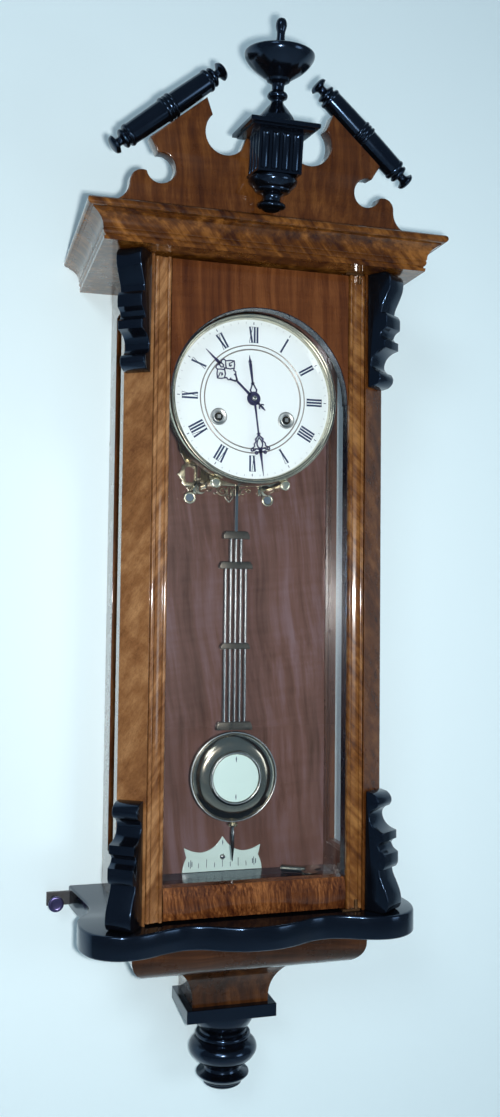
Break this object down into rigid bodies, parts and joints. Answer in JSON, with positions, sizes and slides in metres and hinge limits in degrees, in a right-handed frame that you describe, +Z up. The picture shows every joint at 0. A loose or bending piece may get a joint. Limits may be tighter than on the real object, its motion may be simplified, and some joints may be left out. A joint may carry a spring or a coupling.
{
  "type": "vienna regulator clock",
  "caption": "Spring driven wall regulator clock in a walnut case with ebonised turnings, glazed door, enamel dial, gridiron pendulum, open movement and drop finial.",
  "frame": {"origin": "on the wall plane straight behind the arbor of the hands", "axes": "+Z up, +X to the right of a viewer who faces the dial, the dial faces -Y"},
  "size_m": [0.374, 0.2362, 1.0804],
  "materials": {
    "walnut": "french polished",
    "dark_walnut": "stained, satin",
    "ebonised": "black, polished",
    "brass": "polished",
    "steel": "polished",
    "blued_steel": "blued",
    "enamel": "glossy white",
    "iron": "plain",
    "glass": "clear"
  },
  "bodies": {
    "case": {"side_panel_right": "walnut", "side_panel_left": "walnut", "corner_post_right": "walnut", "corner_post_left": "walnut", "cornice": "walnut", "crest_board": "walnut", "base_cushion": "walnut", "tail_pedestal": "walnut", "backboard": "dark_walnut", "case_floor": "dark_walnut", "crest_baluster_left": "ebonised", "crest_baluster_right": "ebonised", "fluted_pedestal": "ebonised", "urn_finial": "ebonised", "base_shelf": "ebonised", "tail_block": "ebonised", "drop_finial": "ebonised", "scroll_top_left": "ebonised", "scroll_top_right": "ebonised", "scroll_bottom_left": "ebonised", "scroll_bottom_right": "ebonised", "door_pivot_top": "brass", "door_pivot_bottom": "brass", "dial_bezel": "brass", "movement_bracket": "brass", "front_plate": "brass", "back_plate": "brass", "winding_key": "brass", "gong": "blued_steel", "dial_plate": "enamel", "beat_scale": "enamel", "wall_hanger": "iron", "steady_bar": "iron", "side_glass_right": "glass", "side_glass_left": "glass"},
    "door": {"door_stile_right": "walnut", "door_stile_left": "walnut", "door_spandrel": "walnut", "door_bottom_rail": "walnut", "door_glass": "glass"},
    "steady_screw_left": {"steady_screw_left": "steel"},
    "steady_screw_right": {"steady_screw_right": "steel"},
    "minute_arm": {"minute_hand": "blued_steel", "cannon_pinion": "steel"},
    "minute_wheel": {"minute_wheel": "brass"},
    "hour_arm": {"hour_hand": "blued_steel", "hour_wheel": "brass"},
    "centre_arbor": {"centre_wheel": "brass"},
    "third_arbor": {"third_wheel": "brass"},
    "escape_arbor": {"escape_wheel": "brass"},
    "time_barrel": {"time_barrel": "brass"},
    "strike_barrel": {"strike_barrel": "brass"},
    "time_winder": {"time_winding_arbor": "steel"},
    "strike_winder": {"strike_winding_arbor": "steel"},
    "anchor": {"anchor_crutch": "steel"},
    "pendulum": {"pendulum_frame": "steel", "pendulum_bob": "brass", "bob_disc": "enamel"},
    "rating_nut": {"rating_nut": "brass"},
    "hammer": {"strike_hammer": "brass"}
  },
  "joints": [
    {"name": "door_swing", "type": "hinge", "parent": "case", "child": "door", "pos_m": [0.104, -0.1545, 0], "axis": [0, 0, 1], "range_deg": [0, 90]},
    {"name": "steady_screw_left_turn", "type": "hinge", "parent": "case", "child": "steady_screw_left", "pos_m": [-0.179, -0.013, -0.5265], "axis": [0, 1, 0], "continuous": true},
    {"name": "steady_screw_right_turn", "type": "hinge", "parent": "case", "child": "steady_screw_right", "pos_m": [0.179, -0.013, -0.5265], "axis": [0, 1, 0], "continuous": true},
    {"name": "minute_turn", "type": "hinge", "parent": "case", "child": "minute_arm", "pos_m": [0, -0.12, 0], "axis": [0, 1, 0], "continuous": true},
    {"name": "minute_wheel_turn", "type": "hinge", "parent": "case", "child": "minute_wheel", "pos_m": [0.00848, -0.115, -0.00848], "axis": [0, 1, 0], "continuous": true},
    {"name": "hour_turn", "type": "hinge", "parent": "case", "child": "hour_arm", "pos_m": [0, -0.12, 0], "axis": [0, 1, 0], "continuous": true},
    {"name": "centre_turn", "type": "hinge", "parent": "case", "child": "centre_arbor", "pos_m": [0, -0.095, 0], "axis": [0, 1, 0], "continuous": true},
    {"name": "third_turn", "type": "hinge", "parent": "case", "child": "third_arbor", "pos_m": [-0.016, -0.095, 0.0218], "axis": [0, 1, 0], "continuous": true},
    {"name": "escape_turn", "type": "hinge", "parent": "case", "child": "escape_arbor", "pos_m": [0, -0.095, 0.0335], "axis": [0, 1, 0], "continuous": true},
    {"name": "time_barrel_turn", "type": "hinge", "parent": "case", "child": "time_barrel", "pos_m": [0.036, -0.093, -0.02], "axis": [0, 1, 0], "continuous": true},
    {"name": "strike_barrel_turn", "type": "hinge", "parent": "case", "child": "strike_barrel", "pos_m": [-0.036, -0.093, -0.02], "axis": [0, 1, 0], "continuous": true},
    {"name": "time_winder_turn", "type": "hinge", "parent": "case", "child": "time_winder", "pos_m": [0.036, -0.1, -0.02], "axis": [0, 1, 0], "continuous": true},
    {"name": "strike_winder_turn", "type": "hinge", "parent": "case", "child": "strike_winder", "pos_m": [-0.036, -0.1, -0.02], "axis": [0, 1, 0], "continuous": true},
    {"name": "pendulum_swing", "type": "hinge", "parent": "case", "child": "pendulum", "pos_m": [0, -0.066, 0.052], "axis": [0, 1, 0], "range_deg": [-3, 3]},
    {"name": "anchor_rock", "type": "hinge", "parent": "case", "child": "anchor", "pos_m": [0, -0.09, 0.052], "axis": [0, 1, 0], "range_deg": [-3, 3]},
    {"name": "rating_nut_turn", "type": "hinge", "parent": "pendulum", "child": "rating_nut", "pos_m": [0, -0.066, -0.4428], "axis": [0, 0, 1], "continuous": true},
    {"name": "hammer_swing", "type": "hinge", "parent": "case", "child": "hammer", "pos_m": [-0.057, -0.07, 0.026], "axis": [0, 1, 0], "range_deg": [-6, 12], "stiffness_Nm_per_rad": 0.02}
  ],
  "couplings": [
    {"joint": "minute_wheel_turn", "follows": "minute_turn", "ratio": -0.33333},
    {"joint": "hour_turn", "follows": "minute_turn", "ratio": 0.083333},
    {"joint": "third_turn", "follows": "centre_turn", "ratio": -8},
    {"joint": "escape_turn", "follows": "centre_turn", "ratio": 80},
    {"joint": "time_barrel_turn", "follows": "centre_turn", "ratio": -0.11111},
    {"joint": "anchor_rock", "follows": "pendulum_swing", "ratio": 1}
  ]
}
